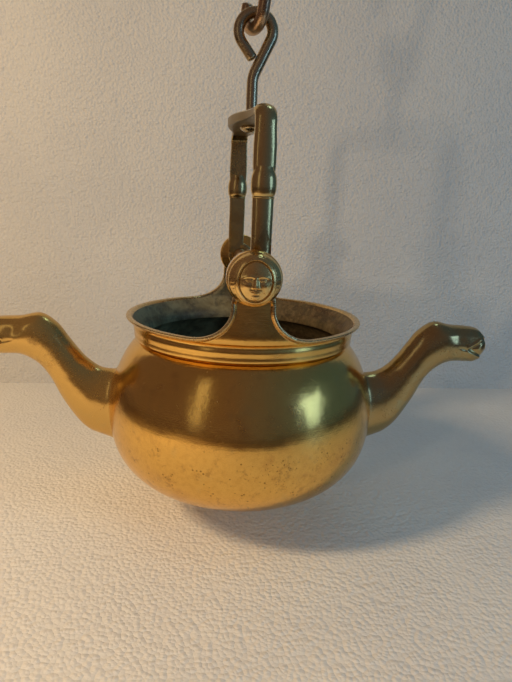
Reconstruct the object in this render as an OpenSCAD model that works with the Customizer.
// Hanging hand-washing kettle of cast brass: a round-bellied vessel with two
// beast-head spouts, two lugs with faces, a swinging bail, a swivel eye and
// the hook it hangs from. Millimetres, +Z up, +X along the spouts.
// The origin is the point inside the hook's upper bend where the rail bears.

/* [Vessel] */
// Outer radius of the mouth over the lip
rim_r = 76; // [72:0.5:80]
// Height from the rail contact down to the rim plane
drop = 222; // [216:1:240]
// Largest outer radius of the belly
belly_r = 87; // [84:0.5:92]
// Depth of the widest place below the rim plane
belly_z = 58; // [54:0.5:62]
// Depth of the underside below the rim plane
vessel_h = 118; // [112:0.5:124]
// Roundness exponent of the lower belly
low_pow = 2.75; // [2.2:0.05:3.2]
// Roundness exponent of the shoulder
high_pow = 1.5; // [1.2:0.05:2]
// Outer radius of the notch under the collar
neck_r = 67; // [65:0.5:69]
// Depth of that notch below the rim plane
neck_z = 15.5; // [14.8:0.1:17]
// Thickness of the cast wall
wall = 3; // [2.5:0.1:4]
// Radius of the flat on the underside
foot_r = 28; // [20:1:36]

/* [Lugs] */
// Height of the pivot pins above the rim plane
pivot_z = 33; // [31:0.5:35]
// Distance of the lug's inner face from the middle
lug_in = 63; // [62.9:0.1:64]
// Distance of the lug's front face from the middle
lug_out = 72; // [71:0.5:73]
// Radius of the round lug head
lug_r = 14.9; // [14:0.1:15.5]
// Half width of the tongue where it meets the head
neck_half = 11; // [8:0.2:12]
// Half width of the tongue where it leaves the rim
foot_half = 34; // [28:1:40]
// Height of the tongue's curved flanks
flank_h = 17; // [14:0.5:18]

/* [Face discs] */
// Radius of the face disc
face_r = 14.4; // [13.5:0.1:14.8]
// Height of its straight edge
face_edge = 1.6; // [1:0.1:2.5]
// Height of the dome above the edge
face_dome = 7.6; // [5:0.2:9]

/* [Bail] */
// Distance of each arm's middle plane from the middle
arm_y = 59.5; // [58:0.1:59.8]
// Arm width across the kettle
arm_w = 10.2; // [9:0.2:12]
// Arm thickness
arm_t = 5.6; // [4.8:0.1:5.8]
// Height of the crown's top above the rim plane
crown_z = 121.5; // [118:0.5:126]
// Thickness of the crown
crown_t = 5.5; // [4.5:0.1:6.5]
// Half width of the crown at the swivel hole
crown_half = 13.6; // [11:0.2:15]
// Outer radius of the bail's corners
corner_r = 10; // [8:0.5:12]
// Turn of the bail's plane away from the lugs, as it was forged
bail_turn = 3.6; // [0:0.1:4]
// Radius of the round eye at the foot of each arm
eye_r = 9; // [8:0.2:10]
// Largest radius of the knop on each arm
knop_r = 6.5; // [6:0.1:7]
// Height of the knop's middle above the rim plane
knop_z = 81; // [70:1:90]
// Length of the knop
knop_l = 13.4; // [10:0.2:16]

/* [Pivot pins] */
// Radius of the pivot pins
pin_r = 3; // [2.5:0.1:3.5]
// Radius of the pin's riveted head
pin_head_r = 5; // [4.5:0.1:6]

/* [Swivel eye] */
// Radius of the eye's wire
wire_r = 3.4; // [3:0.1:3.5]
// Radius of the loop's centre line
loop_r = 10; // [9.8:0.1:10.4]
// Sideways place of the loop's centre
loop_x = 0.9; // [0:0.1:1.2]
// Height of the loop's centre above the rim plane
loop_z = 168.7; // [168.4:0.1:169]
// Running clearance between shank and crown, on the radius
shank_gap = 0.08; // [0.05:0.01:0.1]
// Radius of the collar riveted under the crown
collar_r = 6.6; // [5.5:0.1:8]

/* [Hook] */
// Radius of the hook's wire
hook_r = 3.6; // [3.2:0.1:3.6]
// Radius of the lower bend's centre line
low_bend = 10.5; // [10.5:0.1:12]
// Radius of the upper bend's centre line
high_bend = 18; // [16:0.5:20]
// Height between the two bends' centres
bend_gap = 27; // [26:0.5:30]
// Turn of the hook's plane away from the line of the lugs
hook_turn = 24; // [0:1:30]

/* [Spouts] */
// Wall of the spouts
spout_wall = 2.6; // [2.2:0.1:3]
// Half width of the spout where it meets the belly
spout_base_w = 15; // [12:0.5:17]
// Half width of the spout's neck and head
spout_neck_w = 10.6; // [9:0.2:12]
// Radius of the port through the belly wall
port_r = 7; // [5:0.5:8]

/* [Hidden] */
$fn = 96;

// ---- vessel profile, radius and height from the rim plane ----
function lowr(s, R, p) = R * pow(max(0, 1 - pow(s, p)), 1 / p);
// share of the lower height at which the underside's flat begins
flat_s = pow(1 - pow(foot_r / belly_r, low_pow), 1 / low_pow);
base_z = -belly_z - (vessel_h - belly_z) * flat_s;
in_r = belly_r - wall;
in_s = 0.97;
function low_pts(n) = [for (i = [0 : n])
    let (s = sin(90 * (1 - i / n)) * flat_s)
    [lowr(s, belly_r, low_pow), -belly_z - (vessel_h - belly_z) * s]];
function up_pts(n) = [for (i = [1 : n])
    let (s = sin(90 * i / n))
    [neck_r + (belly_r - neck_r) * pow(max(0, 1 - pow(s, high_pow)), 1 / high_pow),
     -belly_z + (belly_z - neck_z) * s]];
collar = [[rim_r - 6.6, -14.2], [rim_r - 6.1, -13.4], [rim_r - 6.0, -10.6],
          [rim_r - 5.4, -10.0], [rim_r - 4.9, -8.8], [rim_r - 5.1, -7.4],
          [rim_r - 5.8, -6.6], [rim_r - 5.8, -5.6], [rim_r - 5.2, -4.4],
          [rim_r - 3.8, -3.2], [rim_r - 1.8, -2.5], [rim_r - 0.6, -2.2],
          [rim_r, -1.4], [rim_r - 0.1, -0.6], [rim_r - 0.8, 0]];
inner_lip = [[rim_r - 3, 0], [rim_r - 3.7, -0.7], [rim_r - 6, -3.5],
             [rim_r - 9, -7], [rim_r - 11, -10.5]];
function in_up(n) = [for (i = [n : -1 : 0])
    let (s = sin(90 * i / n))
    [neck_r - wall + (in_r - neck_r + wall) * pow(max(0, 1 - pow(s, high_pow)), 1 / high_pow),
     -belly_z + (belly_z - neck_z) * s]];
function in_low(n) = [for (i = [1 : n])
    let (s = sin(90 * i / n) * in_s)
    [lowr(s, in_r, low_pow), -belly_z - (vessel_h - wall - belly_z) * s]];
outer_prof = concat([[0, base_z]], low_pts(18), up_pts(12), collar);
inner_end = in_low(16);
full_prof = concat(outer_prof, inner_lip, in_up(10), inner_end, [[0, inner_end[15][1]]]);

// outline of one tongue: concave flanks rising from the rim to the head
tongue = concat(
    [for (i = [0 : 12]) let (t = 90 * i / 12)
        [foot_half - (foot_half - neck_half) * sin(t), flank_h * (1 - cos(t))]],
    [for (i = [12 : -1 : 0]) let (t = 90 * i / 12)
        [-foot_half + (foot_half - neck_half) * sin(t), flank_h * (1 - cos(t))]],
    [[-foot_half, -1.2], [foot_half, -1.2]]);

module lug(side) {
    // curved tongue, part of the mouth's own wall
    intersection() {
        rotate([90, 0, 0]) translate([0, 0, side > 0 ? 55 : -85])
            linear_extrude(30) polygon(tongue);
        translate([0, 0, -3]) difference() {
            cylinder(r = rim_r - 0.4, h = 24);
            translate([0, 0, -1]) cylinder(r = rim_r - 5.4, h = 26);
        }
    }
    // plate and round head
    translate([0, side > 0 ? -lug_out : lug_in, 0]) rotate([-90, 0, 0]) {
        translate([0, -pivot_z, 0]) cylinder(r = lug_r, h = lug_out - lug_in);
        translate([-neck_half + 1, -pivot_z + 4, 0])
            cube([2 * neck_half - 2, pivot_z - 15, lug_out - lug_in]);
    }
}

module vessel() {
    color([0.72, 0.5, 0.2]) translate([0, 0, -drop]) difference() {
        union() {
            rotate_extrude() polygon(full_prof);
            lug(1);
            lug(-1);
        }
        // seats of the pivot pins
        translate([0, 0, pivot_z]) rotate([90, 0, 0])
            cylinder(r = pin_r, h = 4 * rim_r, center = true);
        // ports into the spouts
        for (s = [1, -1]) translate([s * belly_r, 0, -62]) rotate([0, 90, 0])
            cylinder(r = port_r, h = 30, center = true);
    }
}

// ---- spouts: top and bottom outline points of each section ----
top_line = [[84, -40], [94, -37.6], [102, -32], [108, -25], [113.5, -17.2],
            [120, -8.6], [130, -2.2], [142, -4], [153, -4.7], [160.5, -6],
            [164.5, -9.5]];
low_line = [[84, -91], [105, -78], [117.5, -60.5], [125, -45.5], [131, -37],
            [137, -32.3], [143, -29.7], [149, -29.1], [156, -29], [162, -27.8],
            [165.5, -24]];
half_w = [1, 0.84, 0.74, 0.7, 0.7, 0.72, 0.74, 0.7, 0.69, 0.66, 0.5];
NS = len(top_line);
SIDES = 24;
function cr(a, b, c, d, t) = 0.5 * ((2 * b) + (c - a) * t + (2 * a - 5 * b + 4 * c - d) * t * t
    + (3 * b - a - 3 * c + d) * t * t * t);
function at(v, u) = let (i = min(NS - 2, floor(u)), t = u - i)
    cr(v[max(0, i - 1)], v[i], v[i + 1], v[min(NS - 1, i + 2)], t);
// outer radius of the belly at a depth under the rim plane
function belly_at(z) = z < -belly_z
    ? lowr(min(1, (-belly_z - z) / (vessel_h - belly_z)), belly_r, low_pow)
    : neck_r + (belly_r - neck_r) * pow(max(0, 1 - pow(min(1, (z + belly_z) / (belly_z - neck_z)), high_pow)), 1 / high_pow);
// one ring of a spout's skin, pulled in by a wall thickness
function ring(u, inset) = let (a = at(top_line, u), b = at(low_line, u),
        m = (a + b) / 2, h = norm(a - b) / 2, d = (a - b) / (2 * h),
        w = at(half_w, u) * spout_base_w - inset, hh = h - inset)
    [for (k = [0 : SIDES - 1]) let (t = 360 * k / SIDES, c = cos(t), s = sin(t),
            q = m + d * hh * c)
        [q[0], w * s, q[1]]];
// the first ring lies on the belly's own surface
function on_belly(r) = [for (p = r) [sqrt(pow(belly_at(p[2]), 2) - p[1] * p[1]) + 0.02, p[1], p[2]]];
STEPS = 3;
us = [for (i = [1 : (NS - 1) * STEPS]) i / STEPS];
outer_rings = concat([on_belly(ring(0, 0))], [for (u = us) ring(u, 0)]);
inner_rings = concat([on_belly(ring(0, spout_wall))], [for (u = us) ring(u, spout_wall)]);
NR = len(outer_rings);
function flat(v) = [for (a = v) for (b = a) b];
// shell: outer skin out, round the mouth, inner skin back, round the base
shell_rings = concat(outer_rings, [for (i = [NR - 1 : -1 : 0]) inner_rings[i]]);
NT = len(shell_rings);
shell_faces = [for (i = [0 : NT - 1]) for (k = [0 : SIDES - 1])
    let (a = i * SIDES + k, b = i * SIDES + (k + 1) % SIDES,
         i2 = (i + 1) % NT, c = i2 * SIDES + (k + 1) % SIDES, d = i2 * SIDES + k)
    each [[a, c, b], [a, d, c]]];

module spout() {
    translate([0, 0, -drop]) polyhedron(flat(shell_rings), shell_faces);
}
module spout_right() { color([0.66, 0.44, 0.17]) spout(); }
module spout_left() { color([0.66, 0.44, 0.17]) mirror([1, 0, 0]) spout(); }

// ---- domed face discs over the lug heads ----
module face_disc() {
    rotate_extrude() polygon(concat([[0, 0], [face_r, 0], [face_r, face_edge]],
        [for (i = [1 : 15]) let (t = 90 * i / 16)
            [face_r * cos(t), face_edge + face_dome * sin(t)]],
        [[0, face_edge + face_dome]]));
}
module face_front() {
    color([0.76, 0.5, 0.24]) translate([0, -lug_out, pivot_z - drop])
        rotate([90, 0, 0]) face_disc();
}
module face_back() {
    color([0.76, 0.5, 0.24]) translate([0, lug_out, pivot_z - drop])
        rotate([-90, 0, 0]) face_disc();
}

// ---- pivot pins: pressed in the lugs, the arms turn on them ----
module pin() {
    // seat in the lug, journal in the arm, riveted head inside the arm
    rotate_extrude() polygon([[0, 0], [pin_r, 0], [pin_r, lug_out - arm_y + arm_t / 2 + 0.4],
        [pin_head_r, lug_out - arm_y + arm_t / 2 + 0.4],
        [pin_head_r, lug_out - arm_y + arm_t / 2 + 1.4],
        [pin_head_r - 1.2, lug_out - arm_y + arm_t / 2 + 2.6],
        [pin_head_r - 3, lug_out - arm_y + arm_t / 2 + 3.1],
        [0, lug_out - arm_y + arm_t / 2 + 3.3]]);
}
module pivot_pin_front() {
    color([0.6, 0.42, 0.18]) translate([0, -lug_out, pivot_z - drop]) rotate([-90, 0, 0]) pin();
}
module pivot_pin_back() {
    color([0.6, 0.42, 0.18]) translate([0, lug_out, pivot_z - drop]) rotate([90, 0, 0]) pin();
}

// ---- bail ----
bevel = 1.3;
arm_section = [[-arm_w / 2, -arm_t / 2], [arm_w / 2, -arm_t / 2],
    [arm_w / 2, arm_t / 2 - bevel], [arm_w / 2 - bevel, arm_t / 2],
    [-arm_w / 2 + bevel, arm_t / 2], [-arm_w / 2, arm_t / 2 - bevel]];
// the outside of a corner is the plain edge of the section, turned a quarter
module arm() {
    // upright bar, its bevelled face outwards (towards +Y)
    translate([0, arm_y, pivot_z + 2]) linear_extrude(crown_z - corner_r - pivot_z - 2)
        polygon(arm_section);
    // knop
    translate([0, arm_y, knop_z - knop_l / 2]) rotate_extrude()
        polygon(concat([[0, 0], [knop_r - 1.1, 0]],
            [for (i = [1 : 9]) let (t = i / 10)
                [knop_r - 1.1 + 1.1 * sin(180 * t), knop_l * t]],
            [[knop_r - 1.1, knop_l], [0, knop_l]]));
    // quarter bend into the crown
    translate([0, arm_y + arm_t / 2 - corner_r, crown_z - corner_r])
        rotate([90, 0, 90]) translate([0, 0, 0]) rotate_extrude(angle = 90)
            polygon([for (p = arm_section) [corner_r - arm_t / 2 + p[1], p[0]]]);
}
bar_end = arm_y + arm_t / 2 - corner_r;
crown_outline = concat(
    [for (i = [-16 : 16]) let (y = bar_end * i / 16)
        [arm_w / 2 + (crown_half - arm_w / 2) * (1 + cos(180 * y / bar_end)) / 2, y]],
    [for (i = [16 : -1 : -16]) let (y = bar_end * i / 16)
        [-arm_w / 2 - (crown_half - arm_w / 2) * (1 + cos(180 * y / bar_end)) / 2, y]]);
module bail() {
    color([0.45, 0.33, 0.16]) translate([0, 0, -drop]) difference() {
        union() {
            rotate([0, 0, bail_turn]) {
                arm();
                rotate([0, 0, 180]) arm();
                translate([0, 0, crown_z - crown_t]) linear_extrude(crown_t)
                    polygon(crown_outline);
            }
            // round eyes on the pins
            for (s = [1, -1]) translate([0, s * arm_y, pivot_z]) rotate([90, 0, 0])
                cylinder(r = eye_r, h = arm_t, center = true);
        }
        translate([0, 0, crown_z - 20]) cylinder(r = wire_r + shank_gap, h = 40);
        translate([0, 0, pivot_z]) rotate([90, 0, 0])
            cylinder(r = pin_r + 0.06, h = 3 * arm_y, center = true);
    }
}

// ---- swivel eye: straight shank, a swan neck and a round loop ----
lean = 26;
tail_lean = 38;
// the straight flank leaves the loop at its lower right
flank_x = loop_x + loop_r * cos(lean);
flank_z = loop_z - loop_r * sin(lean);
// where the line of that flank would meet the shank's axis
meet_z = flank_z - flank_x / tan(lean);
neck_bend = 16;
bend_t = neck_bend * tan(lean / 2);
shank_top = meet_z - bend_t;
flank_l = norm([flank_x, flank_z - meet_z]) - bend_t;
// ---- bent round wire: a tube swept along a path in the XZ plane ----
WIRE_SIDES = 20;
function arc_path(c, r, a0, a1, n) = [for (i = [0 : n])
    let (t = a0 + (a1 - a0) * i / n) c + r * [cos(t), sin(t)]];
function along(p, i) = let (d = p[min(len(p) - 1, i + 1)] - p[max(0, i - 1)]) d / norm(d);
module tube(p, r) {
    n = WIRE_SIDES;
    m = len(p);
    points = [for (i = [0 : m - 1]) let (t = along(p, i)) for (k = [0 : n - 1])
        let (c = cos(360 * k / n), s = sin(360 * k / n))
        [p[i][0] + r[i] * c * t[1], r[i] * s, p[i][1] - r[i] * c * t[0]]];
    sides = [for (i = [0 : m - 2]) for (k = [0 : n - 1])
        let (a = i * n + k, b = i * n + (k + 1) % n, c = (i + 1) * n + (k + 1) % n, d = (i + 1) * n + k)
        each [[a, d, c], [a, c, b]]];
    polyhedron(points, concat([[for (k = [0 : n - 1]) k]], sides,
        [[for (k = [n - 1 : -1 : 0]) (m - 1) * n + k]]));
}
// the bent part of the wire starts just above the crown
bent_z = crown_z + 3;
skin_r = wire_r + 0.08;
tail_start = [loop_x - loop_r * cos(tail_lean), loop_z - loop_r * sin(tail_lean)];
tail_dir = [sin(tail_lean), -cos(tail_lean)];
eye_path = concat([[0, bent_z], [0, (bent_z + shank_top) / 2]],
    arc_path([neck_bend, shank_top], neck_bend, 180, 180 - lean, 6),
    arc_path([loop_x, loop_z], loop_r, -lean, 180 + tail_lean, 34),
    [tail_start + 4 * tail_dir, tail_start + 7.8 * tail_dir,
     tail_start + 8.7 * tail_dir, tail_start + 9.3 * tail_dir]);
eye_radii = concat([for (i = [0 : len(eye_path) - 3]) skin_r], [skin_r - 0.4, skin_r - 1.3]);
module swivel_eye() {
    color([0.42, 0.34, 0.2]) translate([0, 0, -drop]) {
        // straight round shank that turns in the crown
        translate([0, 0, 112.6]) cylinder(r = wire_r, h = bent_z - 112.6 + 1.5);
        tube(eye_path, eye_radii);
    }
}
module swivel_collar() {
    color([0.55, 0.4, 0.18]) translate([0, 0, -drop + crown_z - crown_t - 0.1])
        rotate([180, 0, 0]) rotate_extrude()
            polygon([[wire_r, 0], [collar_r, 0], [collar_r, 1.2], [collar_r - 0.8, 2.4],
                     [collar_r - 2.2, 3.2], [wire_r, 3.4]]);
}

// ---- suspension hook: one bent wire, both bends open to the back ----
hook_n = (high_bend - low_bend) / bend_gap;
flare = asin(hook_n);
low_c = -high_bend + hook_r - bend_gap;
high_c = -high_bend + hook_r;
hook_path = concat(
    [low_bend * [cos(24), sin(24)] + [0, low_c], low_bend * [cos(20.5), sin(20.5)] + [0, low_c]],
    arc_path([0, low_c], low_bend, 15, flare - 180, 30),
    [for (t = [0.33, 0.67])
        [0, low_c] + low_bend * [-cos(flare), -sin(flare)] + t * bend_gap * cos(flare) * [-sin(flare), cos(flare)]],
    arc_path([0, high_c], high_bend, 180 + flare, -5, 34),
    [high_bend * [cos(-8), sin(-8)] + [0, high_c], high_bend * [cos(-10), sin(-10)] + [0, high_c]]);
hook_radii = concat([hook_r - 1.3, hook_r - 0.4],
    [for (i = [0 : len(hook_path) - 5]) hook_r], [hook_r - 0.4, hook_r - 1.3]);
module suspension_hook() {
    color([0.5, 0.38, 0.22]) rotate([0, 0, 90 + hook_turn]) tube(hook_path, hook_radii);
}

vessel();
spout_right();
spout_left();
face_front();
face_back();
pivot_pin_front();
pivot_pin_back();
bail();
swivel_eye();
swivel_collar();
suspension_hook();
